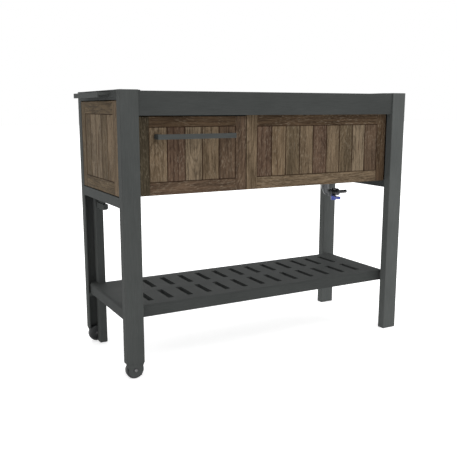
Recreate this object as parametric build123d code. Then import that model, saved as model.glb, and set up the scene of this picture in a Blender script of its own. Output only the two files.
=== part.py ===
from build123d import *
import os

# Potting bench on two wheels: a drawer bay and a potting tub in a rimmed cabinet,
# with a slotted shelf below and a drain valve under the tub.
# Millimetres.  While the bench is drawn, X runs right from the outer face of the left
# legs, Y runs back from the front face of the front legs, and Z runs up from the floor.
# Every node is then moved so that the origin is at the bottom centre of the whole bench.

# ---------------------------------------------------------------- driving dimensions
bench_length = 1107.0       # over the legs
bench_depth = 430.0
bench_height = 900.0
leg_width = 59.0            # along X
leg_depth = 31.0            # along Y
leg_wall = 4.0
leg_corner = 2.0
channel_web = 5.0           # front wall of the left legs, which are open channels
rail_height = 32.0
top_rail_height = 30.0
moulding_edge = 1.5         # rounding of long moulded edges
cabinet_bottom = 577.5      # lower edge of the wood panels
end_rail_drop = 31.5        # how far the lower end rails hang below the cabinet
top_rail_width = 77.0       # along X, flat top of each end
low_rail_width = 25.0
rim_drop = 3.0              # the front and back rims sit this much below the leg tops
rim_bottom = 823.5
rim_setback = 5.0           # face of the rim behind the face of the legs
rim_thickness = 18.0
rim_end_gap = 1.0           # between each end of a rim and the leg
panel_setback = 30.0        # face of the front panels behind the face of the legs
panel_thickness = 16.0
panel_gap = 2.5             # shadow gap round the end panels
frame_width = 40.0          # rails and stiles of the panels
low_board = 40.5            # lower rail of the long panels
high_board = 42.0           # upper rail of the long panels
drawer_stile = 39.5
drawer_high_board = 32.0
plank_thickness = 12.0
plank_recess = 1.0
plank_chamfer = 1.5
frame_chamfer = 0.8
seam = 0.5                  # between two planks
drawer_gap = 2.5            # between the drawer front and its neighbours
drawer_edge = 443.5         # right edge of the drawer front
fixed_edge = drawer_edge + drawer_gap
drawer_front_top = 820.5
fixed_panel_top = 829.0
work_level = 885.0          # top of the worktop and of the tub's rim
worktop_thickness = 12.0
board = 8.0                 # inner walls of the cabinet
floor_thickness = 6.0
fit_gap = 1.0               # between a top part and its neighbours along X
side_gap = 0.5              # between a top part and the rims
tub_wall = 5.0
tub_bottom = 602.0
tub_rim_width = 24.0
tub_corner = 6.5
tub_floor_corner = 6.0
tub_hole_radius = 15.0
shelf_left = 8.5
shelf_right = 1074.0
shelf_front = 41.0
shelf_bottom = 187.0
shelf_top = 225.0
shelf_skin = 5.0
shelf_round = 8.0
shelf_play = 0.8            # between the shelf and the foot posts
slot_wall = 3.5             # height of skin round each slot, under the deck
slot_middle = 551.5         # middle slot of each row
slot_pitch = 72.0
slot_count = 13
slot_width = 20.0
slot_length = 107.0
slot_row_gap = 41.0
glide_base = 3.0            # thickness of the pads that close the ends of the feet
glide_inset = 0.5
post_width = 28.0           # foot posts beside the wheels
post_depth = 29.0
post_wall = 2.5
post_overlap = 5.0          # how far a post reaches into the channel of its leg
post_play = 0.5             # between a post and the leg or the shelf
bracket_bottom = 501.0
bracket_top = 520.0
bracket_length = 72.0
wheel_radius = 29.2
axle_height = 29.4
axle_radius = 4.0
axle_head_radius = 5.0
washer_thickness = 1.0
retainer_thickness = 1.4
hub_radius = 9.0
tread_width = 7.0           # solid rim of a wheel, outside its pocket
tread_round = 3.0
wheel_inner_face = 25.0     # from the outer face of the leg
wheel_outer_face = 8.3
running_clearance = 0.08
fork_radius = 22.5
fork_face = 3.0             # the fork's cheek is set back from the leg's face
fork_back = 7.0
shoulder_top = 36.0         # where the fork begins to widen towards the leg
channel_foot = 53.0         # lower end of the left legs' channel
side_handle_reach = 39.0
side_handle_length = 254.0
side_handle_top = 893.0
side_handle_plate = 7.0
side_handle_lip = 4.0
side_handle_drop = 15.5     # from the top of the handle to the lower edge of its lip
side_screw_pitch = 100.0
screw_radius = 2.0
screw_hole_radius = 2.05
screw_play = 0.5            # beyond the point of a screw
bar_left = 119.0            # handle of the drawer
bar_right = 391.0
bar_bottom = 751.5
bar_top = 767.0
bar_thickness = 4.0
bar_end = 12.0
bar_round = 1.2
bar_screw_point = 13.5
box_bottom = 592.0          # drawer box
box_top = 762.0
box_wall = 10.0
box_length = 320.0
drawer_bottom_thickness = 6.0
slide_space = 13.0          # between the bay's walls and the drawer box
slide_length = 316.0
slide_height = 670.0        # middle of the slides
slide_setback = 2.0
slide_depth = 11.0
slide_half_height = 20.0
slide_step = 2.0
slide_nesting = 2.5
slide_sheet = 1.5
slide_flange = 2.0          # the web of the moving channel, against the drawer box
drain_x = 912.0
drain_height = 517.5        # centre line of the horizontal pipe
spigot_radius = 6.7         # the end that a hose is pushed onto

# ---------------------------------------------------------------- worked-out places
mid_y = bench_depth / 2
right_leg_x = bench_length - leg_width
back_leg_y = bench_depth - leg_depth
low_rail_bottom = cabinet_bottom - end_rail_drop
low_rail_top = low_rail_bottom + rail_height
top_rail_bottom = bench_height - top_rail_height
rim_top = bench_height - rim_drop
rim_back = rim_setback + rim_thickness
panel_back = panel_setback + panel_thickness
work_underside = work_level - worktop_thickness
post_front = leg_depth - post_overlap
post_back = post_front + post_depth
post_left = leg_width - post_width
axle_x = leg_width / 2
origin_x = (bench_length - side_handle_reach) / 2

nodes = {}


# ---------------------------------------------------------------- helpers
def block(x0, x1, y0, y1, z0, z1):
    """A box between two corners."""
    size = (x1 - x0, y1 - y0, z1 - z0)
    centre = ((x0 + x1) / 2, (y0 + y1) / 2, (z0 + z1) / 2)
    return Pos(*centre) * Box(*size)


def mirror_y(shape):
    """The same piece at the other long side of the bench."""
    return mirror(shape, Plane.XZ.offset(-mid_y))


def mirror_x(shape):
    """The same piece at the other end of the bench."""
    return mirror(shape, Plane.YZ.offset(bench_length / 2))


def rod(radius, start, end):
    """A round bar between two points."""
    start = Vector(*start)
    end = Vector(*end)
    plane = Plane(origin=start, z_dir=end - start)
    return plane * Cylinder(radius, (end - start).length, align=(Align.CENTER, Align.CENTER, Align.MIN))


def ring(outer, inner, start, end):
    """A round sleeve between two points."""
    return rod(outer, start, end) - rod(inner, start, end)


def both_sides(*shapes):
    """Each piece, and the same piece at the other long side of the bench."""
    return [copy for shape in shapes for copy in (shape, mirror_y(shape))]


def round_upright_edges(shape, radius):
    """Round every edge of the shape that runs straight up."""
    return fillet(shape.edges().filter_by(Axis.Z), radius)


def add(name, shape):
    """Keep a piece, or a list of separate pieces, as one node."""
    nodes[name] = shape


# ---------------------------------------------------------------- legs, posts and wheels
def right_leg():
    """A closed square-ended post."""
    outer = round_upright_edges(
        block(right_leg_x, bench_length, 0, leg_depth, glide_base, bench_height), leg_corner)
    hollow = block(right_leg_x + leg_wall, bench_length - leg_wall,
                   leg_wall, leg_depth - leg_wall, glide_base, bench_height - leg_wall)
    return outer - hollow


def fork():
    """The cheek in a left foot that holds the axle pin, tapering down to a round end."""
    left = axle_x - fork_radius
    right = axle_x + fork_radius
    overlap = 2.0
    outline = [(0, channel_foot + overlap), (0, channel_foot), (left, shoulder_top),
               (left, axle_height), (right, axle_height), (right, shoulder_top),
               (leg_width, channel_foot), (leg_width, channel_foot + overlap)]
    cheek_face = make_face(Plane.XZ * Polyline(*outline, close=True))
    cheek = Pos(0, fork_face, 0) * extrude(cheek_face, -(fork_back - fork_face))
    cheek += rod(fork_radius, (axle_x, fork_face, axle_height), (axle_x, fork_back, axle_height))
    return cheek - rod(axle_radius, (axle_x, 0, axle_height), (axle_x, leg_depth, axle_height))


def left_leg():
    """A channel that is open towards the middle of the bench, over the wheel in its foot."""
    shell = block(0, leg_width, 0, leg_depth, channel_foot, bench_height)
    shell = round_upright_edges(shell, leg_corner)
    closed_hollow = block(leg_wall, leg_width - leg_wall, channel_web, leg_depth - leg_wall,
                          low_rail_bottom, bench_height - leg_wall)
    open_hollow = block(leg_wall, leg_width - leg_wall, channel_web, leg_depth,
                        channel_foot, low_rail_bottom)
    post_room = block(post_left - post_play, leg_width, post_front - post_play, leg_depth,
                      channel_foot, cabinet_bottom)
    return shell - closed_hollow - open_hollow - post_room + fork()


def foot_post():
    """A square tube beside the wheel, which stands on the floor when the bench is level."""
    tube = block(post_left, leg_width, post_front, post_back, glide_base, cabinet_bottom)
    hollow = block(post_left + post_wall, leg_width - post_wall, post_front + post_wall,
                   post_back - post_wall, glide_base, cabinet_bottom)
    return round_upright_edges(tube, moulding_edge) - hollow


def post_bracket():
    """An arm that ties the top of a foot post to the cabinet floor, with a web above it."""
    arm_width = 17.0
    arm_left = post_left + 6.0
    web_left = arm_left + 4.0
    web_width = 8.0
    web_length = 60.0
    corner = 7.0
    arm = block(arm_left, arm_left + arm_width, post_back, post_back + bracket_length,
                bracket_bottom, bracket_top)
    low_edge = arm.edges().filter_by(Axis.Y).group_by(Axis.Z)[0].sort_by(Axis.X)[-1]
    web = block(web_left, web_left + web_width, post_back, post_back + web_length,
                bracket_top, cabinet_bottom)
    return fillet(low_edge, corner) + web


def glide(x0, x1, y0, y1, wall):
    """A plug in the open end of a foot, with a pad that is as wide as the foot."""
    plug_height = 4 * glide_base
    pad = block(x0 + glide_inset, x1 - glide_inset, y0 + glide_inset, y1 - glide_inset, 0, glide_base)
    plug = block(x0 + wall, x1 - wall, y0 + wall, y1 - wall, glide_base, glide_base + plug_height)
    return pad + plug


def axle_rod(radius, start, end):
    """A round solid on the front wheel's axis, between two depths."""
    return rod(radius, (axle_x, start, axle_height), (axle_x, end, axle_height))


def wheel():
    """A moulded wheel with a rounded tread, a hub and a pocket round it."""
    pocket_depth = 5.0
    dish_depth = 3.0
    inner = wheel_inner_face
    tyre = axle_rod(wheel_radius, wheel_outer_face, inner)
    tyre = fillet(tyre.edges().filter_by(GeomType.CIRCLE), tread_round)
    pocket = axle_rod(wheel_radius - tread_width, inner - pocket_depth, inner)
    pocket -= axle_rod(hub_radius, inner - pocket_depth, inner)
    dish = axle_rod(hub_radius, inner - dish_depth, inner)
    bore = axle_rod(axle_radius + running_clearance, wheel_outer_face, inner)
    return tyre - pocket - dish - bore


def axle():
    """A headed pin that is riveted into the fork."""
    washer_front = fork_face - washer_thickness
    head_round = 1.2
    end_inset = 0.6
    head = axle_rod(axle_head_radius, 0, washer_front)
    front_edge = head.edges().filter_by(GeomType.CIRCLE).sort_by(Axis.Y)[:1]
    pin = axle_rod(axle_radius, washer_front, wheel_inner_face - end_inset)
    return fillet(front_edge, head_round) + pin


def axle_washer():
    """The washer between the pin's head and the fork."""
    outer_radius = 8.0
    start = fork_face - washer_thickness
    return axle_rod(outer_radius, start, fork_face) - axle_rod(axle_radius, start, fork_face)


def axle_retainer():
    """The push-on ring that keeps the wheel on its pin, in the dish of the hub."""
    outer_radius = 7.0
    end = wheel_inner_face - 1.2
    start = end - retainer_thickness
    return axle_rod(outer_radius, start, end) - axle_rod(axle_radius, start, end)


add("leg_front_left", left_leg())
add("leg_back_left", mirror_y(left_leg()))
add("leg_front_right", right_leg())
add("leg_back_right", mirror_y(right_leg()))
add("foot_post_front", foot_post())
add("foot_post_back", mirror_y(foot_post()))
add("post_brackets", both_sides(post_bracket()))
add("foot_glides", both_sides(glide(post_left, leg_width, post_front, post_back, post_wall),
                              glide(right_leg_x, bench_length, 0, leg_depth, leg_wall)))
add("wheel_front", wheel())
add("wheel_back", mirror_y(wheel()))
add("axle_front", axle())
add("axle_back", mirror_y(axle()))
add("axle_washers", both_sides(axle_washer(), axle_retainer()))


# ---------------------------------------------------------------- end rails and rims
def top_end_rail():
    """The wide top of one end, moulded hollow and open below."""
    rail = block(0, top_rail_width, leg_depth, back_leg_y, top_rail_bottom, bench_height)
    rail = fillet(rail.edges().filter_by(Axis.Y).sort_by(Axis.Z)[-2:], leg_corner)
    hollow = block(leg_wall, top_rail_width - leg_wall, leg_depth + leg_wall, back_leg_y - leg_wall,
                   top_rail_bottom, bench_height - leg_wall)
    return rail - hollow


def low_end_rail():
    """The rail under an end panel."""
    rail = block(0, low_rail_width, leg_depth, back_leg_y, low_rail_bottom, low_rail_top)
    return fillet(rail.edges().filter_by(Axis.Y), moulding_edge)


def rim():
    """The deep board along one long side of the top."""
    length = block(leg_width + rim_end_gap, right_leg_x - rim_end_gap, rim_setback, rim_back,
                   rim_bottom, rim_top)
    return fillet(length.edges().filter_by(Axis.X), moulding_edge)


add("end_rail_top_left", top_end_rail())
add("end_rail_top_right", mirror_x(top_end_rail()))
add("end_rail_bottom_left", low_end_rail())
add("end_rail_bottom_right", mirror_x(low_end_rail()))
add("rim_front", rim())
add("rim_back", mirror_y(rim()))


# ---------------------------------------------------------------- wood-look panels
def chamfered_board(x0, x1, y0, y1, z0, z1, size):
    """A board with its front edges, at the lowest Y, taken off."""
    plain = block(x0, x1, y0, y1, z0, z1)
    return chamfer(plain.faces().sort_by(Axis.Y)[0].edges(), size)


def panel(width, bottom, top, side, low, high, count):
    """The frame boards and the planks of a panel that faces -Y, with its face at Y = 0.

    width is along X from 0; side, low and high are the widths of the stiles, of the
    lower rail and of the upper rail; count is the number of planks between the stiles.
    """
    deep = panel_thickness
    boards = [
        chamfered_board(0, side, 0, deep, bottom, top, frame_chamfer),
        chamfered_board(width - side, width, 0, deep, bottom, top, frame_chamfer),
        chamfered_board(side, width - side, 0, deep, bottom, bottom + low, frame_chamfer),
        chamfered_board(side, width - side, 0, deep, top - high, top, frame_chamfer),
    ]
    pitch = (width - 2 * side) / count
    planks = []
    for index in range(count):
        left = side + index * pitch
        planks.append(chamfered_board(left + seam / 2, left + pitch - seam / 2,
                                      plank_recess, plank_recess + plank_thickness,
                                      bottom + low, top - high, plank_chamfer))
    return boards, planks


def placed(pieces, location):
    """The pieces, moved together."""
    return [location * piece for piece in pieces]


drawer_left = leg_width + drawer_gap
drawer_panel = panel(drawer_edge - drawer_left, cabinet_bottom, drawer_front_top,
                     drawer_stile, low_board, drawer_high_board, 5)
at_drawer = Pos(drawer_left, panel_setback, 0)
add("drawer_front_frame", placed(drawer_panel[0], at_drawer))

fixed_right = right_leg_x - 4.0
fixed_panel = panel(fixed_right - fixed_edge, cabinet_bottom, fixed_panel_top,
                    frame_width, low_board, high_board, 9)
at_fixed = Pos(fixed_edge, panel_setback, 0)
add("front_panel_frame", placed(fixed_panel[0], at_fixed))
add("front_panel_planks", placed(fixed_panel[1], at_fixed))

end_play = 1.0
end_setback = 1.5
end_panel = panel(back_leg_y - leg_depth - 2 * end_play, low_rail_top + panel_gap,
                  top_rail_bottom - panel_gap, frame_width, frame_width, frame_width, 5)
at_left = Pos(end_setback, back_leg_y - end_play, 0) * Rot(0, 0, -90)
at_right = Pos(bench_length - end_setback, leg_depth + end_play, 0) * Rot(0, 0, 90)
add("left_panel_frame", placed(end_panel[0], at_left))
add("left_panel_planks", placed(end_panel[1], at_left))
add("right_panel_frame", placed(end_panel[0], at_right))
add("right_panel_planks", placed(end_panel[1], at_right))

back_panel = panel(fixed_right - drawer_left, cabinet_bottom, fixed_panel_top,
                   frame_width, low_board, high_board, 16)
at_back = Pos(fixed_right, bench_depth - panel_setback, 0) * Rot(0, 0, 180)
add("back_panel_frame", placed(back_panel[0], at_back))
add("back_panel_planks", placed(back_panel[1], at_back))


# ---------------------------------------------------------------- inside the cabinet
bay_left = leg_width + board
bay_right = fixed_edge
divider_right = fixed_edge + board
inner_front = panel_back
inner_back = bench_depth - panel_back
top_front = rim_back + side_gap
top_back = bench_depth - top_front
floor_top = cabinet_bottom + floor_thickness
top_left = top_rail_width + fit_gap
tub_left = divider_right + fit_gap
tub_right = bench_length - top_rail_width - fit_gap


def cabinet_floor():
    """The board under the drawer and the tub, with a round opening for the drain."""
    opening_radius = 32.0
    floor = block(low_rail_width, bench_length - low_rail_width, inner_front, inner_back,
                  cabinet_bottom, floor_top)
    return floor - rod(opening_radius, (drain_x, mid_y, cabinet_bottom), (drain_x, mid_y, floor_top))


def inner_wall(left):
    """An upright board across the cabinet."""
    return block(left, left + board, inner_front, inner_back, floor_top, work_underside)


def top_cleat():
    """A bearer along the front rim, notched over the divider, that carries the worktop and the tub."""
    cleat_depth = 20.0
    cleat_height = 23.0
    notch_play = 1.0
    cleat = block(top_left, tub_right, rim_back, rim_back + cleat_depth,
                  work_underside - cleat_height, work_underside)
    return cleat - block(fixed_edge - notch_play, divider_right + notch_play,
                         rim_back + cleat_depth - notch_play, inner_back, floor_top, bench_height)


def worktop():
    """The flat board over the drawer bay."""
    slab = block(top_left, divider_right, top_front, top_back, work_underside, work_level)
    return round_upright_edges(slab, leg_corner)


def tub_solid(wall, bottom, top):
    """The tub's outer form, drawn in all round by a wall thickness."""
    edge = tub_rim_width + wall
    form = block(tub_left + edge, tub_right - edge, top_front + edge, top_back - edge, bottom, top)
    form = round_upright_edges(form, tub_corner - wall)
    return fillet(form.faces().sort_by(Axis.Z)[0].edges(), tub_floor_corner - wall)


def tub():
    """A deep basin that hangs by its rim and drains through its floor."""
    rim_plate = block(tub_left, tub_right, top_front, top_back, work_underside, work_level)
    body = tub_solid(0, tub_bottom, work_underside)
    inside = tub_solid(tub_wall, tub_bottom + tub_wall, bench_height)
    hole = rod(tub_hole_radius, (drain_x, mid_y, tub_bottom), (drain_x, mid_y, work_underside))
    return rim_plate + body - inside - hole


add("cabinet_floor", cabinet_floor())
add("bay_wall_left", inner_wall(leg_width))
add("divider_wall", inner_wall(fixed_edge))
add("top_cleats", both_sides(top_cleat()))
add("worktop", worktop())
add("tub", tub())


# ---------------------------------------------------------------- drain and valve
def at_drain(x=0.0, z=0.0):
    """A point on the drain's middle plane, from the foot of its upright pipe."""
    return (drain_x + x, mid_y, drain_height + z)


def drain_ring(outer, inner, bottom, top):
    """A sleeve on the drain's upright axis, between two heights above the floor."""
    foot = (drain_x, mid_y, bottom)
    head = (drain_x, mid_y, top)
    return rod(outer, foot, head) - rod(inner, foot, head)


def drain_prism(across_corners, sides, bore, bottom, height):
    """A nut on the drain's upright axis."""
    prism = extrude(RegularPolygon(radius=across_corners / 2, side_count=sides), height)
    prism = Pos(drain_x, mid_y, bottom) * prism
    return prism - rod(bore, (drain_x, mid_y, bottom), (drain_x, mid_y, bottom + height))


def drain_strainer():
    """A disc with nine holes in a square."""
    thickness = 2.0
    pitch = 9.0
    hole_radius = 3.0
    disc = rod(22.0, (drain_x, mid_y, flange_top), (drain_x, mid_y, flange_top + thickness))
    for column in (-1, 0, 1):
        for row in (-1, 0, 1):
            foot = (drain_x + pitch * column, mid_y + pitch * row, flange_top)
            disc -= rod(hole_radius, foot, (foot[0], foot[1], flange_top + thickness))
    return disc


def drain_elbow():
    """A bent pipe from the coupling to the valve, with a collar at the valve."""
    wall = 3.0
    bend_radius = 16.0
    collar_radius = 13.5
    collar_length = 6.0
    top = coupling_top - running_clearance - drain_height
    path = FilletPolyline(at_drain(z=top), at_drain(), at_drain(x=valve_start), radius=bend_radius)
    section = Plane(origin=at_drain(z=top), z_dir=(0, 0, -1))
    pipe = sweep(section * (Circle(elbow_radius) - Circle(elbow_radius - wall)), path=path)
    return pipe + ring(collar_radius, elbow_radius, at_drain(x=valve_start - collar_length),
                       at_drain(x=valve_start))


def valve_housing():
    """The barrel that holds the ball, with a boss for the stem and a round seat for the bonnet."""
    barrel_radius = 13.0
    boss_radius = 8.0
    bore_radius = 6.0
    nut_start = valve_end - nut_overlap
    housing = rod(barrel_radius, at_drain(x=valve_start), at_drain(x=nut_start))
    housing += rod(elbow_radius, at_drain(x=nut_start), at_drain(x=valve_end))
    housing += rod(boss_radius, at_drain(x=valve_mid, z=boss_bottom), at_drain(x=valve_mid))
    housing -= rod(bore_radius, at_drain(x=valve_start), at_drain(x=valve_end))
    housing -= Pos(*at_drain(x=valve_mid)) * Sphere(ball_radius + ball_play)
    housing -= rod(stem_radius + running_clearance, at_drain(x=valve_mid, z=stem_bottom),
                   at_drain(x=valve_mid))
    return housing - rod(bonnet_plug_radius + running_clearance, at_drain(x=valve_mid),
                         at_drain(x=valve_mid, z=bonnet_top))


def valve_bonnet():
    """The plug with a flat cap that closes the top of the valve."""
    plug_bottom = 9.2
    cap_bottom = 13.1
    cap_radius = 10.5
    plug = rod(bonnet_plug_radius, at_drain(x=valve_mid, z=plug_bottom),
               at_drain(x=valve_mid, z=cap_bottom))
    return plug + rod(cap_radius, at_drain(x=valve_mid, z=cap_bottom),
                      at_drain(x=valve_mid, z=bonnet_top))


def hose_tail():
    """A flange that the union nut holds, a shoulder, and a bare spigot for a hose."""
    shoulder_radius = 9.0
    bore_radius = 4.5
    lead_in = 1.2
    shoulder_start = valve_end + nut_lip
    spigot = rod(spigot_radius, at_drain(x=spigot_start), at_drain(x=spigot_end))
    spigot = chamfer(spigot.edges().filter_by(GeomType.CIRCLE).sort_by(Axis.X)[-1:], lead_in)
    tail = rod(elbow_radius, at_drain(x=valve_end), at_drain(x=shoulder_start))
    tail += rod(shoulder_radius, at_drain(x=shoulder_start), at_drain(x=spigot_start))
    return tail + spigot - rod(bore_radius, at_drain(x=valve_end), at_drain(x=spigot_end))


def valve_ball():
    """The ball, with its passage across the pipe while the valve is shut, and its stem."""
    passage_radius = 5.5
    overlap = 1.0
    centre = at_drain(x=valve_mid)
    ball = Pos(*centre) * Sphere(ball_radius)
    ball -= rod(passage_radius, (centre[0], mid_y - ball_radius, drain_height),
                (centre[0], mid_y + ball_radius, drain_height))
    return ball + rod(stem_radius, at_drain(x=valve_mid, z=stem_bottom),
                      at_drain(x=valve_mid, z=overlap - ball_radius))


tub_floor_top = tub_bottom + tub_wall
flange_top = tub_floor_top + 4.0
coupling_base = 534.0
coupling_top = 560.0
tail_bore = 10.0
tail_radius = 14.5
nut_bore = 14.8
gasket_thickness = 3.0
nut_height = 12.0
nut_bottom = tub_bottom - gasket_thickness - nut_height
elbow_radius = 10.5
valve_start = 24.0          # along the pipe, from the drain's upright axis
valve_mid = 43.0
valve_end = 60.0
nut_overlap = 5.0
nut_lip = 3.0
ball_radius = 8.5
ball_play = 0.3
bonnet_plug_radius = 8.9
bonnet_top = 15.5           # heights from here on are from the pipe's centre line
boss_bottom = -14.0
stem_radius = 3.0
stem_bottom = -29.0
spigot_start = valve_end + 7.0
spigot_end = valve_end + 45.0

seat = drain_ring(26.0, tail_bore, tub_floor_top, flange_top)
add("drain_flange", seat + drain_ring(tail_radius, tail_bore, coupling_top, tub_floor_top))
add("drain_strainer", drain_strainer())
add("drain_gasket", drain_ring(25.0, nut_bore, tub_bottom - gasket_thickness, tub_bottom))
add("drain_nut", drain_prism(52.0, 6, nut_bore, nut_bottom, nut_height))
add("drain_coupling", drain_prism(31.0, 8, elbow_radius + running_clearance,
                                  coupling_base, coupling_top - coupling_base))
add("drain_elbow", drain_elbow())
add("valve_body", valve_housing())
add("valve_bonnet", valve_bonnet())
add("valve_union_nut", ring(14.0, elbow_radius, at_drain(x=valve_end - nut_overlap),
                            at_drain(x=valve_end + nut_lip)))
add("hose_tail", hose_tail())
add("valve_ball", valve_ball())


def valve_lever():
    """A lever under the valve, square to the pipe when the valve is shut."""
    hub_radius = 10.5
    hub_gap = 0.5
    arm_half = 6.0
    arm_gap = 1.0
    arm_height = 8.0
    arm_end = 24.0
    grip_half = 8.0
    grip_start = 18.0
    grip_end = 38.0
    grip_height = 9.0
    grip_corner = 6.0
    stem_x = drain_x + valve_mid
    base = drain_height + stem_bottom - 1.0
    top = drain_height + boss_bottom - arm_gap
    hub = rod(hub_radius, (stem_x, mid_y, base), at_drain(x=valve_mid, z=boss_bottom - hub_gap))
    hub -= rod(stem_radius, at_drain(x=valve_mid, z=stem_bottom), at_drain(x=valve_mid, z=boss_bottom))
    arm = block(stem_x - arm_half, stem_x + arm_half, mid_y - arm_end, mid_y - hub_radius / 2,
                top - arm_height, top)
    grip = block(stem_x - grip_half, stem_x + grip_half, mid_y - grip_end, mid_y - grip_start,
                 top - grip_height, top)
    grip = fillet(grip.edges().filter_by(Axis.Z).sort_by(Axis.Y)[:2], grip_corner)
    return hub + arm + grip


add("valve_lever", valve_lever())


# ---------------------------------------------------------------- shelf
def slot_boxes(grow, z0, z1):
    """A block for each slot of both rows, larger all round by grow."""
    half_width = slot_width / 2 + grow
    half_length = slot_length / 2 + grow
    row_offset = (slot_length + slot_row_gap) / 2
    boxes = []
    for index in range(slot_count):
        x = slot_middle + slot_pitch * (index - (slot_count - 1) / 2)
        for y in (mid_y - row_offset, mid_y + row_offset):
            boxes.append(block(x - half_width, x + half_width, y - half_length, y + half_length, z0, z1))
    return boxes


def shelf():
    """A ribbed tray with two rows of slots, cut out round the foot posts."""
    back = bench_depth - shelf_front
    under_left = leg_width + 6.0
    tongue_play = 1.0
    slot_wall_bottom = shelf_bottom + 2.0
    tray = block(shelf_left, shelf_right, shelf_front, back, shelf_bottom, shelf_top)
    tray += block(shelf_left, tongue_end, leg_depth + tongue_play, back_leg_y - tongue_play,
                  shelf_bottom, shelf_top)
    room = block(tongue_end, leg_width + shelf_play, leg_depth, post_back + shelf_play,
                 shelf_bottom, shelf_top)
    tray = tray - room - mirror_y(room)
    top_edges = tray.faces().sort_by(Axis.Z)[-1].edges()
    long_edges = top_edges.filter_by(Axis.X).sort_by(SortBy.LENGTH)[-2:]
    cross_edges = top_edges.filter_by(Axis.Y).sort_by(Axis.X)
    tray = fillet([*long_edges, cross_edges[0], cross_edges[-1]], shelf_round)
    tray -= block(under_left, shelf_right - shelf_skin, shelf_front + shelf_skin, back - shelf_skin,
                  shelf_bottom, shelf_top - shelf_skin)
    tray += slot_boxes(slot_wall, slot_wall_bottom, shelf_top)
    tray -= slot_boxes(0, shelf_bottom, shelf_top)
    return tray


def right_cleat():
    """A bearer on the back of a right leg, inside the end of the shelf."""
    return block(shelf_right - 22, shelf_right - 4, leg_depth, shelf_front, shelf_bottom + 5, shelf_top - 8)


def left_cleat():
    """A bearer in the channel of a left leg, under the shelf's tongue."""
    height = 12.0
    reach = 5.0
    return block(leg_wall, post_left - fit_gap, channel_web, leg_depth + reach,
                 shelf_bottom - height, shelf_bottom)


tongue_end = post_left - shelf_play
add("shelf", shelf())
add("shelf_cleats", both_sides(right_cleat(), left_cleat()))


# ---------------------------------------------------------------- handle on the left end
def side_handle():
    """A shallow grip: a flat top with a lip that turns down, to hook the fingers behind."""
    y0 = mid_y - side_handle_length / 2
    y1 = mid_y + side_handle_length / 2
    plate = block(-side_handle_reach, 0, y0, y1, side_handle_top - side_handle_plate, side_handle_top)
    lip = block(-side_handle_reach, -side_handle_reach + side_handle_lip, y0, y1,
                side_handle_top - side_handle_drop, side_handle_top)
    handle = plate + lip
    return fillet(handle.edges().filter_by(Axis.Y).group_by(Axis.X)[0], moulding_edge)


def side_screw_rod(radius, start, end, y):
    """A round solid on a side handle screw's axis."""
    z = side_handle_top - side_handle_plate / 2
    return rod(radius, (start, y, z), (end, y, z))


def side_handle_screw(y):
    """A pan-head screw through the end rail from inside."""
    head_height = 3.0
    head_radius = 4.5
    head = side_screw_rod(head_radius, leg_wall, leg_wall + head_height, y)
    return head + side_screw_rod(screw_radius, side_screw_point, leg_wall, y)


side_screw_point = -12.0
grip = side_handle()
side_screw_places = [mid_y - side_screw_pitch, mid_y, mid_y + side_screw_pitch]
for y in side_screw_places:
    side_hole = side_screw_rod(screw_hole_radius, side_screw_point - screw_play, leg_wall, y)
    grip -= side_hole
    nodes["end_rail_top_left"] -= side_hole
add("side_handle", grip)
add("side_handle_screws", [side_handle_screw(y) for y in side_screw_places])


# ---------------------------------------------------------------- drawer
box_left = bay_left + slide_space
box_right = bay_right - slide_space
box_back = panel_back + box_length
drawer_bottom_top = box_bottom + 10.0
bar_middle = (bar_bottom + bar_top) / 2
bar_screw_places = [bar_left + bar_end / 2, bar_right - bar_end / 2]
plank_face = panel_setback + plank_recess
plank_inside = plank_face + plank_thickness


def drawer_side(left):
    """A side board of the drawer box."""
    return block(left, left + box_wall, panel_back, box_back, box_bottom, box_top)


def bar_screw_rod(radius, start, end, x):
    """A round solid on a drawer handle screw's axis."""
    return rod(radius, (x, start, bar_middle), (x, end, bar_middle))


def bar_screw(x):
    """A screw from inside the drawer into an end of the handle."""
    head_height = 2.5
    head_radius = 4.0
    head = bar_screw_rod(head_radius, plank_inside, plank_inside + head_height, x)
    return head + bar_screw_rod(screw_radius, bar_screw_point, plank_inside, x)


def handle_bar():
    """The flat bar of the drawer handle."""
    bar = block(bar_left, bar_right, 0, bar_thickness, bar_bottom, bar_top)
    return round_upright_edges(bar, bar_round)


def handle_end(left):
    """A spacer between the bar and the drawer front."""
    return block(left, left + bar_end, bar_thickness, plank_face, bar_bottom, bar_top)


def slide_channel(left, right, half_height, wall_sides):
    """A channel of folded sheet that lies along Y and is open towards +X or -X."""
    start = panel_back + slide_setback
    outer = block(left, right, start, start + slide_length,
                  slide_height - half_height, slide_height + half_height)
    inside = block(left + wall_sides[0], right - wall_sides[1], start, start + slide_length,
                   slide_height - half_height + slide_sheet, slide_height + half_height - slide_sheet)
    return outer - inside


add("drawer_side_left", drawer_side(box_left))
add("drawer_side_right", drawer_side(box_right - box_wall))
add("drawer_back", block(box_left + box_wall, box_right - box_wall, box_back - box_wall, box_back,
                         drawer_bottom_top, box_top))
add("drawer_bottom", block(box_left + box_wall, box_right - box_wall, panel_back, box_back,
                           drawer_bottom_top - drawer_bottom_thickness, drawer_bottom_top))
add("drawer_handle_bar", handle_bar())
add("drawer_handle_screws", [bar_screw(x) for x in bar_screw_places])

handle_ends = [handle_end(bar_left), handle_end(bar_right - bar_end)]
drawer_planks = placed(drawer_panel[1], at_drawer)
for x in bar_screw_places:
    bar_hole = bar_screw_rod(screw_hole_radius, bar_screw_point - screw_play, plank_inside, x)
    handle_ends = [end - bar_hole for end in handle_ends]
    drawer_planks = [plank - bar_hole for plank in drawer_planks]
add("drawer_handle_ends", handle_ends)
add("drawer_front_planks", drawer_planks)

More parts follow.
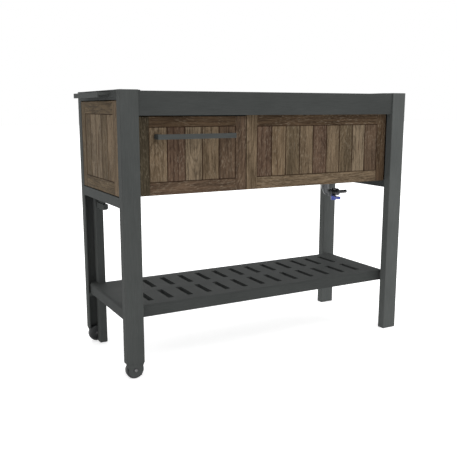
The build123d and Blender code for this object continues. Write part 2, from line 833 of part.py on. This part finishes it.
bay_middle = Plane.YZ.offset((bay_left + bay_right) / 2)
fixed_slide = slide_channel(bay_left, bay_left + slide_depth, slide_half_height, (slide_sheet, 0))
moving_slide = slide_channel(bay_left + slide_nesting, box_left, slide_half_height - slide_step,
                             (0, slide_flange))
add("slides_outer", [fixed_slide, mirror(fixed_slide, bay_middle)])
add("slides_inner", [moving_slide, mirror(moving_slide, bay_middle)])

# ---------------------------------------------------------------- write the nodes
os.makedirs("parts", exist_ok=True)
to_origin = Pos(-origin_x, -mid_y, 0)
for name, shape in nodes.items():
    pieces = shape if isinstance(shape, list) else [shape]
    solids = [to_origin * solid for piece in pieces for solid in piece.solids()]
    whole = solids[0] if len(solids) == 1 else Compound(children=solids)
    export_step(whole, os.path.join("parts", name + ".step"))
print(len(nodes), "nodes")
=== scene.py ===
import math

import bpy
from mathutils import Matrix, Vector


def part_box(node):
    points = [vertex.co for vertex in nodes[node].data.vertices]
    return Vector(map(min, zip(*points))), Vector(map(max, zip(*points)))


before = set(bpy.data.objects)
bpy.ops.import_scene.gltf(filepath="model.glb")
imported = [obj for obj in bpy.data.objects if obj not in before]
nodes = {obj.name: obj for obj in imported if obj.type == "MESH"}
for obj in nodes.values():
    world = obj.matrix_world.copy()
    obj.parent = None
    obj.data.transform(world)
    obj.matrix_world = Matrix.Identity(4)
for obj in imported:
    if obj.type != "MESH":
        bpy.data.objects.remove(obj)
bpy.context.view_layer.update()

# Potting bench.  The CAD nodes keep their shapes, and get rounded edges and procedural
# materials.  Metres, in the frame of the CAD model.


# ---------------------------------------------------------------- camera
CAMERA_POSITION = (-1.1818, -2.0629, 0.8449)
CAMERA_YAW = -28.63
CAMERA_PITCH = -10.43
CAMERA_REACH = 100.0
LENS_MM = 51.4
SENSOR_MM = 36.0


def make_camera():
    """The camera stands in front of the bench, a little to the left, below the worktop's level."""
    data = bpy.data.cameras.new("camera")
    data.sensor_width = SENSOR_MM
    data.lens = LENS_MM
    data.clip_end = CAMERA_REACH
    camera = bpy.data.objects.new("camera", data)
    camera.location = CAMERA_POSITION
    camera.rotation_euler = (math.radians(90 + CAMERA_PITCH), 0, math.radians(CAMERA_YAW))
    bpy.context.scene.collection.objects.link(camera)
    bpy.context.scene.camera = camera


# ---------------------------------------------------------------- shader helpers
# The Mix node has a set of sockets for each type of data, told apart by their number.
MIX_FACTOR = 0
COLOUR_A, COLOUR_B, COLOUR_RESULT = 6, 7, 2
VECTOR_A, VECTOR_B, VECTOR_RESULT = 4, 5, 1

# Cosines between the true normal and one taken over rounded edges: on an edge, and off it.
ON_EDGE = 0.80
OFF_EDGE = 0.985
EDGE_SAMPLES = 4


class Graph:
    """A material's node tree, with short calls for the nodes that it needs."""

    def __init__(self, name):
        self.material = bpy.data.materials.new(name)
        self.material.use_nodes = True
        self.tree = self.material.node_tree
        self.shader = self.tree.nodes["Principled BSDF"]

    def node(self, kind, inputs=(), **settings):
        """A shader node with its settings and its inputs."""
        made = self.tree.nodes.new("ShaderNode" + kind)
        for key, value in settings.items():
            setattr(made, key, value)
        for key, value in dict(inputs).items():
            self.feed(made.inputs[key], value)
        return made

    def feed(self, socket, value):
        """Links another node's output to a socket, or sets the socket to a plain value."""
        if isinstance(value, bpy.types.NodeSocket):
            self.tree.links.new(value, socket)
        else:
            socket.default_value = value

    def math(self, operation, a, b=0.0):
        made = self.node("Math", operation=operation)
        self.feed(made.inputs[0], a)
        self.feed(made.inputs[1], b)
        return made.outputs[0]

    def add(self, a, b):
        return self.math("ADD", a, b)

    def subtract(self, a, b):
        return self.math("SUBTRACT", a, b)

    def multiply(self, a, b):
        return self.math("MULTIPLY", a, b)

    def divide(self, a, b):
        return self.math("DIVIDE", a, b)

    def absolute(self, a):
        return self.math("ABSOLUTE", a)

    def total(self, *parts):
        """The sum of values, each given with its weight."""
        result = None
        for value, weight in parts:
            weighed = self.multiply(value, weight)
            result = weighed if result is None else self.add(result, weighed)
        return result

    def spread(self, chance, width):
        """Turns a value from 0 to 1 into one from minus half of width to plus half of it."""
        return self.multiply(self.subtract(chance, 0.5), width)

    def axes(self):
        """The point's x, y and z in the frame of the bench at rest."""
        coordinates = self.node("TexCoord").outputs["Object"]
        return list(self.node("SeparateXYZ", {"Vector": coordinates}).outputs)

    def vector(self, x, y, z):
        return self.node("CombineXYZ", {"X": x, "Y": y, "Z": z}).outputs[0]

    def point(self):
        return self.vector(*self.axes())

    def noise(self, vector, scale, detail=3.0, roughness=0.55):
        inputs = {"Vector": vector, "Scale": scale, "Detail": detail, "Roughness": roughness}
        return self.node("TexNoise", inputs).outputs["Fac"]

    def streaks(self, along, stretch, scale, **settings):
        """Noise with one axis compressed, so that it is drawn out along that axis."""
        axes = self.axes()
        index = "XYZ".index(along)
        axes[index] = self.multiply(axes[index], stretch)
        return self.noise(self.vector(*axes), scale, **settings)

    def ramp(self, factor, stops, interpolation="LINEAR"):
        """stops is a list of (place, colour), and a colour may be one number for a grey."""
        made = self.node("ValToRGB", {"Fac": factor})
        made.color_ramp.interpolation = interpolation
        elements = made.color_ramp.elements
        while len(elements) < len(stops):
            elements.new(1.0)
        for element, (place, colour) in zip(elements, stops):
            element.position = place
            element.color = (*colour, 1.0) if isinstance(colour, tuple) else (colour, colour, colour, 1.0)
        return made.outputs["Color"]

    def fade(self, factor, start, end, low=0.0, high=1.0):
        """Low up to start and high from end on, with an even change between them."""
        return self.ramp(factor, [(start, low), (end, high)])

    def mix(self, factor, a, b, blend="MIX"):
        made = self.node("Mix", data_type="RGBA", blend_type=blend)
        self.feed(made.inputs[MIX_FACTOR], factor)
        self.feed(made.inputs[COLOUR_A], a if isinstance(a, bpy.types.NodeSocket) else (*a, 1.0))
        self.feed(made.inputs[COLOUR_B], b if isinstance(b, bpy.types.NodeSocket) else (*b, 1.0))
        return made.outputs[COLOUR_RESULT]

    def choose(self, factor, a, b):
        """Vector a where factor is 0, and vector b where it is 1."""
        made = self.node("Mix", {"Factor": factor}, data_type="VECTOR")
        self.feed(made.inputs[VECTOR_A], a)
        self.feed(made.inputs[VECTOR_B], b)
        return made.outputs[VECTOR_RESULT]

    def bump(self, height, strength, distance):
        return self.node("Bump", {"Height": height, "Strength": strength, "Distance": distance}).outputs[0]

    def worn_edge(self, radius):
        """One on an edge, falling to nothing a little way from it."""
        rounded = self.node("Bevel", {"Radius": radius}, samples=EDGE_SAMPLES).outputs[0]
        normal = self.node("NewGeometry").outputs["Normal"]
        cosine = self.node("VectorMath", operation="DOT_PRODUCT")
        self.feed(cosine.inputs[0], rounded)
        self.feed(cosine.inputs[1], normal)
        return self.fade(cosine.outputs["Value"], ON_EDGE, OFF_EDGE, low=1.0, high=0.0)

    def set(self, **values):
        """Feeds the shader's own sockets, and returns the finished material."""
        for key, value in values.items():
            self.feed(self.shader.inputs[key.replace("_", " ")], value)
        return self.material


def rgb(red, green, blue):
    """Linear colour from the usual 0 to 255 screen values."""
    return tuple(((c / 255 + 0.055) / 1.055) ** 2.4 for c in (red, green, blue))


# ---------------------------------------------------------------- resin, plastic and metal
RESIN = rgb(67, 69, 68)
RESIN_DARK = rgb(59, 61, 60)
# Paler resin for worn edges and dust patches, also used as painted light on faces that look up.
RESIN_WORN_AND_LIT = rgb(88, 90, 89)
DULL = 0.03              # specular level of resin and wood, which have hardly any sheen
WEAR_REACH = 0.0012      # how far wear reaches from the edges of resin and wood
FITTING_WEAR_REACH = 0.0008


def resin(name, along="Z", shade=1.0, relief=0.35, lit_top=0.0):
    """Grey moulded resin with a brushed, slightly fibrous skin.

    It is paler on rubbed edges and in dusty patches, and faces that look up can be painted paler, as
    painted light.
    The brushed lines run along one axis, and shade makes the whole lighter or darker.
    """
    patchy_dust = 0.10
    edge_wear = 0.55
    graph = Graph(name)
    fibre = graph.streaks(along, stretch=0.06, scale=420.0, detail=4.0, roughness=0.65)
    mottle = graph.streaks(along, stretch=0.4, scale=14.0, detail=4.0)
    grain = graph.streaks(along, stretch=1.0, scale=900.0, detail=2.0)
    patches = graph.streaks(along, stretch=0.3, scale=6.0, detail=6.0)
    colour, dark, worn = (tuple(shade * c for c in tint) for tint in (RESIN, RESIN_DARK, RESIN_WORN_AND_LIT))
    tone = graph.total((fibre, 0.55), (mottle, 0.45))
    skin = graph.mix(graph.fade(tone, start=0.36, end=0.64), dark, colour)
    skin = graph.mix(graph.fade(patches, start=0.55, end=0.8, high=patchy_dust), skin, worn)
    # Painted light: faces that look up are mixed towards the paler resin.
    if lit_top:
        normal = graph.node("NewGeometry").outputs["Normal"]
        up = graph.node("SeparateXYZ", {"Vector": normal}).outputs["Z"]
        top_light = graph.multiply(graph.fade(up, start=0.5, end=0.9), lit_top)
        skin = graph.mix(top_light, skin, worn)
    edge = graph.multiply(graph.worn_edge(WEAR_REACH), edge_wear)
    height = graph.total((fibre, 1.0), (grain, 0.5))
    return graph.set(Base_Color=graph.mix(edge, skin, worn),
                     Roughness=graph.fade(mottle, start=0.3, end=0.7, low=0.58, high=0.70),
                     Specular_IOR_Level=DULL,
                     Normal=graph.bump(height, strength=relief, distance=0.0004))


def moulded(name, colour, dark, roughness, specular=0.4, worn=None):
    """A plain moulded plastic with a fine spark texture and uneven handling marks."""
    uneven = 0.06
    edge_wear = 0.6
    graph = Graph(name)
    point = graph.point()
    speck = graph.noise(point, scale=960.0, detail=2.0)
    patch = graph.noise(point, scale=40.0, detail=5.0)
    skin = graph.mix(graph.fade(patch, start=0.35, end=0.65), dark, colour)
    if worn is not None:
        skin = graph.mix(graph.multiply(graph.worn_edge(FITTING_WEAR_REACH), edge_wear), skin, worn)
    rough = graph.fade(patch, start=0.3, end=0.7, low=roughness - uneven, high=roughness + uneven)
    return graph.set(Base_Color=skin, Roughness=rough, Specular_IOR_Level=specular,
                     Normal=graph.bump(speck, strength=0.2, distance=0.0003))


def metal(name, colour, dark, roughness):
    """Plated or galvanised steel with drawn lines across the bench and dull patches."""
    polish = 0.08
    dullness = 0.10
    spangle_share = 0.06
    graph = Graph(name)
    lines = graph.streaks("Y", stretch=0.03, scale=1400.0, detail=3.0)
    spangle = graph.node("TexVoronoi", {"Vector": graph.point(), "Scale": 260.0}).outputs["Color"]
    patch = graph.noise(graph.point(), scale=90.0, detail=4.0)
    skin = graph.mix(graph.fade(patch, start=0.35, end=0.65), dark, colour)
    skin = graph.mix(spangle_share, skin, spangle, blend="OVERLAY")
    rough = graph.fade(lines, start=0.3, end=0.7, low=roughness - polish, high=roughness + dullness)
    return graph.set(Base_Color=skin, Metallic=1.0, Roughness=rough,
                     Normal=graph.bump(lines, strength=0.25, distance=0.0002))


# ---------------------------------------------------------------- wood
# Weathered oak, a light and a dark shade of each tone.
TAN = (rgb(106, 91, 73), rgb(64, 53, 40))
PALE = (rgb(113, 99, 81), rgb(68, 58, 46))
OLIVE = (rgb(91, 78, 61), rgb(58, 49, 37))
PLUM = (rgb(87, 70, 57), rgb(53, 40, 32))
UMBER = (rgb(87, 71, 57), rgb(53, 42, 33))
SANDY = (rgb(107, 91, 72), rgb(68, 56, 42))
# The next two are their own tones darkened by painted shade, for boards under the rim and beside the legs.
SHADED_BARK = (rgb(77, 62, 47), rgb(48, 37, 27))
SHADED_MOSS = (rgb(70, 63, 50), rgb(44, 38, 29))
GROOVE = rgb(40, 25, 16)
HEART = rgb(46, 26, 18)
SILVER = rgb(146, 134, 116)
WORN_WOOD = rgb(104, 90, 73)

# The log that a board is sawn from.
LOG_LENGTH = 7.0         # boards come from anywhere along this length
LOG_SIDE = 0.055         # how far apart the log's axes lie to the sides
LOG_DEPTH = 0.03         # how far below the face the axis may lie
LOG_TILT = 0.024         # how far the axis wanders from the board, in waves
LOG_WAVES = 9.0
GRAIN_BEND = 0.030
RING_RUFFLE = 0.006
RING_SPACING = 0.0085
PALE_RING = [(0.0, 0.1), (0.30, 0.0), (0.52, 1.0), (0.66, 0.25), (1.0, 0.1)]
DARK_RING = [(0.62, 0.0), (0.86, 1.0), (1.0, 0.0)]

KNOTS_PER_METRE = 9.0
KNOT_EDGE = 0.08         # a knot's dark middle ends here, and its mark ends at the rim
KNOT_RIM = 0.20
KNOT_EDGE_SHARE = 0.45
KNOT_PUSH = 0.016        # how far a knot pushes the rings aside
PLANK_KNOTS = 0.5
FRAME_KNOTS = 0.35

FLECK_LEAN = 0.30        # range of the flecks' slope across the board
FLECK_BEND = 0.6         # how far they follow the grain's bends
FLECK_LUCK = 0.16        # how far boards differ in the size of their flecked patches

# How much each pattern darkens the wood.
STREAK_SHADE = 0.95
CLOUD_SHADE = 0.25
RING_SHADE = 0.08

# How strongly each mark covers the wood.
HEART_COVER = 0.75
RING_COVER = 0.22
PATCH_COVER = 0.20
FLECK_COVER = 0.04
PORE_COVER = 0.34
KNOT_COVER = 0.9
WEAR_COVER = 0.20


def wood(graph, length, width, depth, index, tones, seed, groove_dirt_and_shade, knots):
    """Weathered oak boards.

    Each board is sawn from its own place in a log, whose rings show as straight grain or as
    arches, and each has its own tone.  length runs along a board, width is counted from its
    middle, depth goes into it, index is the board's number, and groove is one where dirt and
    painted shade darken the joints between boards.
    """
    chance = graph.node("TexWhiteNoise", {"W": graph.add(index, seed)}, noise_dimensions="1D")
    first, second, third = graph.node("SeparateXYZ", {"Vector": chance.outputs["Color"]}).outputs
    length = graph.add(length, graph.multiply(first, LOG_LENGTH))

    def place(luck, stretch, across=width):
        """A point for patterns that are drawn out along the board, and differ between boards."""
        return graph.vector(across, graph.multiply(length, stretch), luck)

    def pattern(luck, stretch, scale, across=width, **settings):
        return graph.noise(place(luck, stretch, across), scale, **settings)

    # The log's axis is tilted, at a random distance to one side and below the face.
    wobble = graph.spread(pattern(third, stretch=0.35, scale=16.0), GRAIN_BEND)
    side = graph.add(graph.add(width, wobble), graph.spread(second, LOG_SIDE))
    tilt = graph.multiply(graph.math("SINE", graph.multiply(length, LOG_WAVES)), LOG_TILT)
    below = graph.add(graph.add(tilt, depth), graph.multiply(third, LOG_DEPTH))
    radius = graph.math("SQRT", graph.add(graph.multiply(side, side), graph.multiply(below, below)))

    # Knots push the rings aside.
    cells = graph.node("TexVoronoi", {"Vector": place(first, stretch=0.45), "Scale": KNOTS_PER_METRE})
    cell = cells.outputs["Distance"]
    knot = graph.ramp(cell, [(0.0, knots), (KNOT_EDGE, knots * KNOT_EDGE_SHARE), (KNOT_RIM, 0.0)])
    radius = graph.add(radius, graph.multiply(knot, KNOT_PUSH))
    ruffle = pattern(second, stretch=0.5, scale=130.0, detail=2.0)
    radius = graph.add(radius, graph.spread(ruffle, RING_RUFFLE))
    ring = graph.math("FRACT", graph.divide(radius, RING_SPACING))
    pale_ring = graph.ramp(ring, PALE_RING)
    dark_ring = graph.ramp(ring, DARK_RING)

    streak = pattern(second, stretch=0.05, scale=150.0, detail=6.0, roughness=0.78)
    fibre = pattern(first, stretch=0.05, scale=620.0, roughness=0.7)
    pores = graph.fade(fibre, start=0.32, end=0.44, low=1.0, high=0.0)
    cloud = pattern(third, stretch=0.3, scale=24.0, detail=4.0)
    heart = pattern(second, stretch=0.10, scale=55.0, detail=1.0)
    heart = graph.fade(heart, start=0.68, end=0.78, high=HEART_COVER)

    # Silvery flecks lean to one side and gather in patches, and some boards have hardly any.
    lean = graph.multiply(length, graph.spread(first, FLECK_LEAN))
    leaning = graph.add(graph.add(width, graph.multiply(wobble, FLECK_BEND)), lean)
    fleck = pattern(third, stretch=0.20, scale=360.0, across=leaning, detail=2.0)
    fleck = graph.fade(fleck, start=0.52, end=0.66)
    patch = pattern(first, stretch=0.5, scale=22.0, detail=2.0)
    patch = graph.fade(graph.add(patch, graph.multiply(third, FLECK_LUCK)), start=0.46, end=0.66)

    share = graph.divide(index, len(tones))
    starts = [max(0.0, (i - 0.5) / len(tones)) for i in range(len(tones))]
    light = graph.ramp(share, [(start, tone[0]) for start, tone in zip(starts, tones)], "CONSTANT")
    dark = graph.ramp(share, [(start, tone[1]) for start, tone in zip(starts, tones)], "CONSTANT")
    shade = graph.total((streak, STREAK_SHADE), (cloud, CLOUD_SHADE), (dark_ring, RING_SHADE))
    colour = graph.mix(graph.fade(shade, start=0.50, end=0.72), light, dark)
    colour = graph.mix(graph.multiply(pale_ring, RING_COVER), colour, light)
    shine = graph.multiply(fleck, graph.add(graph.multiply(patch, PATCH_COVER), FLECK_COVER))
    colour = graph.mix(shine, colour, SILVER)
    colour = graph.mix(graph.multiply(pores, PORE_COVER), colour, GROOVE)
    colour = graph.mix(graph.multiply(heart, second), colour, HEART)
    colour = graph.mix(graph.multiply(knot, KNOT_COVER), colour, GROOVE)
    colour = graph.mix(graph.multiply(graph.worn_edge(WEAR_REACH), WEAR_COVER), colour, WORN_WOOD)
    # Dirt and painted shade in the joints between boards.
    colour = graph.mix(groove_dirt_and_shade, colour, GROOVE)

    height = graph.total((fibre, 0.6), (dark_ring, -0.4), (pores, -0.5))
    return graph.set(Base_Color=colour,
                     Roughness=graph.fade(streak, start=0.3, end=0.7, low=0.74, high=0.60),
                     Specular_IOR_Level=DULL,
                     Normal=graph.bump(height, strength=0.6, distance=0.0006))


# ---------------------------------------------------------------- the panels' boards
STILE_HALF = 0.020
FIRST_RAIL = 2.0         # boards 0 and 1 of a frame are its stiles
CENTIMETRES = 100.0      # a ramp runs from 0 to 1, so its distances from a joint are in cm


def extent(name, axis):
    """Where a node begins and ends along an axis."""
    low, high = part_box(name)
    place = "XYZ".index(axis)
    return low[place], high[place]


def joint_dirt_and_shade(graph, distance, full, clear, strength):
    """Dirt and painted shade in a joint, strongest up to full and gone at clear, both in centimetres from
    it.
    """
    return graph.fade(graph.multiply(distance, CENTIMETRES), full, clear, low=strength, high=0.0)


def plank_material(name, across, depth, tones, seed):
    """A row of upright planks, each with its own tone."""
    graph = Graph(name + "_wood")
    axes = dict(zip("XYZ", graph.axes()))
    start, end = extent(name, across)
    bottom, top = extent(name, "Z")
    pitch = (end - start) / len(tones)
    shifted = graph.subtract(axes[across], start)
    number = graph.math("MINIMUM", graph.divide(shifted, pitch), len(tones) - 0.5)
    index = graph.math("FLOOR", graph.math("MAXIMUM", number, 0.0))
    width = graph.subtract(shifted, graph.multiply(graph.add(index, 0.5), pitch))
    below = graph.subtract(axes[depth], extent(name, depth)[0])
    to_side = graph.subtract(pitch / 2, graph.absolute(width))
    from_middle = graph.absolute(graph.subtract(axes["Z"], (bottom + top) / 2))
    to_end = graph.subtract((top - bottom) / 2, from_middle)
    to_joint = graph.math("MINIMUM", to_side, to_end)
    groove_dirt_and_shade = joint_dirt_and_shade(graph, to_joint, full=0.12, clear=0.24, strength=0.80)
    return wood(graph, axes["Z"], width, below, index, tones, seed, groove_dirt_and_shade, PLANK_KNOTS)


def from_board_middle(graph, place, low, high):
    """The distance outwards from the middle line of the frame boards beyond low and high."""
    from_centre = graph.absolute(graph.subtract(place, (low + high) / 2))
    return graph.subtract(from_centre, (high - low) / 2 + STILE_HALF)


def frame_material(name, field, across, depth, tones, seed):
    """Two upright stiles, then a lower and an upper rail, around a field of planks."""
    graph = Graph(name + "_wood")
    axes = dict(zip("XYZ", graph.axes()))
    left, right = extent(field, across)
    bottom, top = extent(field, "Z")
    past_left = graph.math("LESS_THAN", axes[across], left)
    past_right = graph.math("GREATER_THAN", axes[across], right)
    above = graph.math("GREATER_THAN", axes["Z"], (bottom + top) / 2)
    from_side = from_board_middle(graph, axes[across], left, right)
    from_rail = from_board_middle(graph, axes["Z"], bottom, top)
    lying = graph.vector(axes[across], from_rail, graph.add(above, FIRST_RAIL))
    standing = graph.vector(axes["Z"], from_side, past_right)
    board = graph.choose(graph.add(past_left, past_right), lying, standing)
    length, width, index = graph.node("SeparateXYZ", {"Vector": board}).outputs
    below = graph.subtract(axes[depth], extent(name, depth)[0])
    to_joint = graph.add(graph.math("MAXIMUM", from_side, from_rail), STILE_HALF)
    groove_dirt_and_shade = joint_dirt_and_shade(graph, to_joint, full=0.06, clear=0.15, strength=0.55)
    return wood(graph, length, width, below, graph.math("ROUND", index), tones, seed, groove_dirt_and_shade, FRAME_KNOTS)


# ---------------------------------------------------------------- dressing the CAD nodes
WELD_GAP = 0.00001
ROUND_SEGMENTS = 2
ROUND_ANGLE = 35.0

# Radius of the rounded edges.
METAL_EDGE = 0.0003
FITTING_EDGE = 0.0004
BOARD_EDGE = 0.0004
LEG_EDGE = 0.0005
RAIL_EDGE = 0.0006
SHELF_EDGE = 0.0008
WORKTOP_EDGE = 0.0012


def round_edges(piece, radius):
    """Rounds the piece's sharp edges inwards, within its own outline."""
    weld = piece.modifiers.new("weld", "WELD")
    weld.merge_threshold = WELD_GAP
    rounded = piece.modifiers.new("round", "BEVEL")
    rounded.width = radius
    rounded.segments = ROUND_SEGMENTS
    rounded.limit_method = "ANGLE"
    rounded.angle_limit = math.radians(ROUND_ANGLE)
    shading = piece.modifiers.new("shading", "WEIGHTED_NORMAL")
    shading.keep_sharp = True


def dress(names, material, edge=None):
    """Gives CAD nodes a material and, unless they are round enough already, rounded edges."""
    for name in names:
        piece = nodes[name]
        piece.data.materials.clear()
        piece.data.materials.append(material)
        if edge is not None:
            round_edges(piece, edge)


def dress_resin():
    """Legs, rails, handles, shelf and worktop."""
    upright = resin("resin_upright", "Z")
    crosswise = resin("resin_crosswise", "Y")
    dress(["leg_front_left", "leg_back_left"], upright, LEG_EDGE)
    # The right legs get lighter copies of the resin: painted light from the right side.
    dress(["leg_front_right"], resin("resin_front_right_leg_painted_light", "Z", shade=1.35), LEG_EDGE)
    dress(["leg_back_right"], resin("resin_back_right_leg_painted_light", "Z", shade=1.6), LEG_EDGE)
    dress(["foot_post_front", "foot_post_back", "post_brackets"], upright, RAIL_EDGE)
    dress(["rim_front", "rim_back"], resin("resin_rims", "X", shade=0.80), RAIL_EDGE)
    dress(["end_rail_top_right", "end_rail_bottom_left", "end_rail_bottom_right"], crosswise, RAIL_EDGE)
    # The left top rail, which carries the side handle, gets a darker copy of the resin: painted shade.
    dress(["end_rail_top_left"], resin("resin_rail_by_handle_painted_shade", "Y", shade=0.76), RAIL_EDGE)
    # The side handle gets a lighter copy of the resin and a paler top: painted light.
    dress(["side_handle"], resin("resin_handle_painted_light", "Y", shade=1.1, lit_top=0.5), LEG_EDGE)
    dress(["drawer_handle_bar", "drawer_handle_ends"], resin("resin_lengthwise", "X"), SHELF_EDGE)
    # The shelf gets a darker copy of the resin with paler upward faces: painted shade on its sides and
    # painted light on its top.
    dress(["shelf", "shelf_cleats"], resin("resin_shelf_painted_light", "X", shade=0.80, lit_top=0.30), SHELF_EDGE)
    dress(["worktop"], resin("worktop_resin", "X", shade=1.25, relief=0.5), WORKTOP_EDGE)


# For each panel: the axes across it and into it, the tones of its planks and of its frame
# (left stile, right stile, lower rail, upper rail), and the seed of its grain.
PANELS = {
    "drawer_front": ("X", "Y", [TAN, PLUM, PALE, TAN, UMBER], [SHADED_MOSS, UMBER, UMBER, SHADED_BARK], 3.0),
    "front_panel": ("X", "Y", [PLUM, SANDY, OLIVE, TAN, PLUM, TAN, OLIVE, PALE, UMBER],
                    [TAN, SHADED_BARK, TAN, SHADED_BARK], 21.0),
    "back_panel": ("X", "Y", [TAN, OLIVE, PLUM, PALE, SANDY, UMBER, TAN, PLUM,
                              OLIVE, PALE, TAN, UMBER, SANDY, PLUM, PALE, OLIVE],
                   [PLUM, OLIVE, UMBER, TAN], 47.0),
    "left_panel": ("Y", "X", [TAN, OLIVE, PALE, PALE, OLIVE], [TAN, OLIVE, OLIVE, OLIVE], 71.0),
    "right_panel": ("Y", "X", [SANDY, PLUM, TAN, OLIVE, PALE], [OLIVE, TAN, UMBER, TAN], 83.0),
}
FRAME_SEED_STEP = 0.5


def dress_panels():
    """The boards of the drawer front and of the four sides."""
    for name, (across, depth, plank_tones, frame_tones, seed) in PANELS.items():
        field = name + "_planks"
        border = name + "_frame"
        planks = plank_material(field, across, depth, plank_tones, seed)
        boards = frame_material(border, field, across, depth, frame_tones, seed + FRAME_SEED_STEP)
        dress([field], planks, BOARD_EDGE)
        dress([border], boards, BOARD_EDGE)


def dress_fittings():
    """The inside, the drain and valve, the wheels and the metal parts."""
    board = moulded("inner_board", rgb(56, 57, 58), rgb(48, 49, 50), 0.55)
    tub_resin = moulded("tub_resin", rgb(58, 60, 60), rgb(50, 52, 52), 0.45, worn=rgb(80, 82, 82))
    black = moulded("black_fitting", rgb(40, 41, 43), rgb(30, 31, 33), 0.35, worn=rgb(70, 72, 74))
    pipe_grey = moulded("pipe_grey", rgb(80, 82, 84), rgb(64, 66, 68), 0.30, specular=0.5,
                        worn=rgb(116, 118, 120))
    valve_black = moulded("valve_black", rgb(32, 33, 35), rgb(24, 25, 27), 0.24, specular=0.6,
                          worn=rgb(84, 86, 88))
    nut_grey = moulded("nut_grey", rgb(86, 88, 90), rgb(70, 72, 74), 0.30, worn=rgb(130, 132, 134))
    wheel_plastic = moulded("wheel_plastic", rgb(44, 45, 46), rgb(32, 33, 34), 0.5, worn=rgb(92, 92, 90))
    seal_rubber = moulded("seal_rubber", rgb(38, 38, 38), rgb(30, 30, 30), 0.7)
    blue_plastic = moulded("blue_plastic", rgb(70, 86, 176), rgb(58, 72, 150), 0.32,
                           worn=rgb(120, 132, 200))
    zinc = metal("zinc_plate", (0.62, 0.62, 0.60), (0.42, 0.42, 0.41), 0.32)
    dull_steel = metal("dull_steel", (0.22, 0.22, 0.22), (0.12, 0.12, 0.12), 0.55)
    galvanised = metal("galvanised", (0.52, 0.53, 0.55), (0.36, 0.37, 0.39), 0.36)

    dress(["cabinet_floor", "bay_wall_left", "divider_wall", "top_cleats", "drawer_side_left",
           "drawer_side_right", "drawer_back", "drawer_bottom"], board, RAIL_EDGE)
    dress(["tub"], tub_resin)
    dress(["drain_flange", "drain_nut", "foot_glides", "axle_washers"], black, FITTING_EDGE)
    dress(["drain_coupling", "drain_elbow"], pipe_grey, FITTING_EDGE)
    dress(["valve_body", "valve_bonnet", "hose_tail"], valve_black, FITTING_EDGE)
    dress(["valve_union_nut"], nut_grey, FITTING_EDGE)
    dress(["wheel_front", "wheel_back"], wheel_plastic)
    dress(["drain_gasket"], seal_rubber, FITTING_EDGE)
    dress(["valve_lever"], blue_plastic, RAIL_EDGE)
    dress(["drawer_handle_screws", "side_handle_screws", "valve_ball", "drain_strainer"], zinc, METAL_EDGE)
    dress(["axle_front", "axle_back"], dull_steel, METAL_EDGE)
    dress(["slides_outer", "slides_inner"], galvanised, METAL_EDGE)


# ---------------------------------------------------------------- floor and light
FLOOR_REACH = 30.0
FLOOR_TINTS = ((0.90, 0.90, 0.90), (0.93, 0.93, 0.93))
FLOOR_GLOW = 0.5
WHITE = (1.0, 1.0, 1.0, 1.0)
ROOM_STRENGTH = 1.0
LIGHT_TARGET = (0.0, 0.0, 0.5)
LIGHT_SIZE = 3.0
KEY_POSITION = (2.4, -3.2, 3.4)
KEY_POWER = 70.0
BACK_POSITION = (0.5, 3.4, 2.6)
BACK_POWER = 30.0


def make_floor():
    """A wide pale floor that glows a little, so that it runs into the white of the room."""
    mesh = bpy.data.meshes.new("floor")
    corners = [(-FLOOR_REACH, -FLOOR_REACH, 0), (FLOOR_REACH, -FLOOR_REACH, 0),
               (FLOOR_REACH, FLOOR_REACH, 0), (-FLOOR_REACH, FLOOR_REACH, 0)]
    mesh.from_pydata(corners, [], [(0, 1, 2, 3)])
    floor = bpy.data.objects.new("floor", mesh)
    bpy.context.scene.collection.objects.link(floor)
    graph = Graph("floor_paint")
    tint = graph.mix(graph.noise(graph.point(), scale=1.5), *FLOOR_TINTS)
    mesh.materials.append(graph.set(Base_Color=tint, Roughness=0.9, Specular_IOR_Level=0.1,
                                    Emission_Color=WHITE, Emission_Strength=FLOOR_GLOW))


def area_light(name, position, power):
    """A soft square light that faces the middle of the bench."""
    data = bpy.data.lights.new(name, "AREA")
    data.size = LIGHT_SIZE
    data.energy = power
    light = bpy.data.objects.new(name, data)
    light.location = position
    facing = Vector(LIGHT_TARGET) - Vector(position)
    light.rotation_euler = facing.to_track_quat("-Z", "Y").to_euler()
    bpy.context.scene.collection.objects.link(light)


def make_light():
    """A white room, with a broad key from the front right and a weaker light from behind."""
    world = bpy.data.worlds.new("studio")
    bpy.context.scene.world = world
    world.use_nodes = True
    background = world.node_tree.nodes["Background"]
    background.inputs["Color"].default_value = WHITE
    background.inputs["Strength"].default_value = ROOM_STRENGTH
    area_light("key", KEY_POSITION, KEY_POWER)
    area_light("back", BACK_POSITION, BACK_POWER)
    bpy.context.scene.view_settings.view_transform = "Standard"


dress_resin()
dress_panels()
dress_fittings()
make_camera()
make_floor()
make_light()
